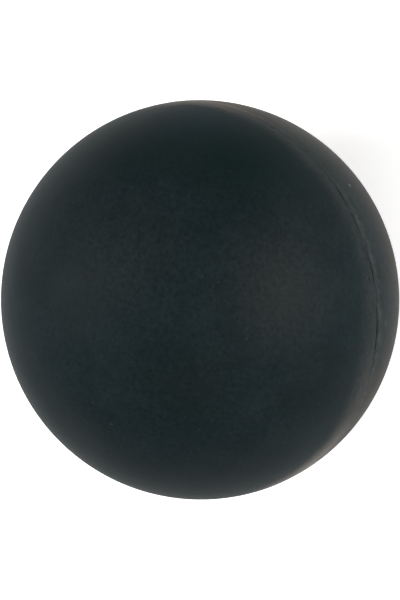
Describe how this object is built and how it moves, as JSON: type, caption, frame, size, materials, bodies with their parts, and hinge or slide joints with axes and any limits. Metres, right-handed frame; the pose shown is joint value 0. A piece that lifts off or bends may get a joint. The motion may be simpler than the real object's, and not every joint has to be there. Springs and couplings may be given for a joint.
{
  "type": "beach paddle ball",
  "caption": "Hollow black rubber ball for beach paddle games: two moulded half shells cemented rim to rim, with a fine seam groove on a buffed land.",
  "frame": {"origin": "centre of the ball, in the middle of the seam's plane", "axes": "+Z along the axis through the poles of the two half shells, out of the upper half; the seam lies in the XY plane, and X and Y are any two square directions in it"},
  "size_m": [0.057, 0.057, 0.0566],
  "materials": {
    "shell_rubber": "matte",
    "cement_rubber": "matte"
  },
  "bodies": {
    "root": {"upper_half_shell": "shell_rubber", "lower_half_shell": "shell_rubber", "seam_cement": "cement_rubber"}
  },
  "joints": []
}
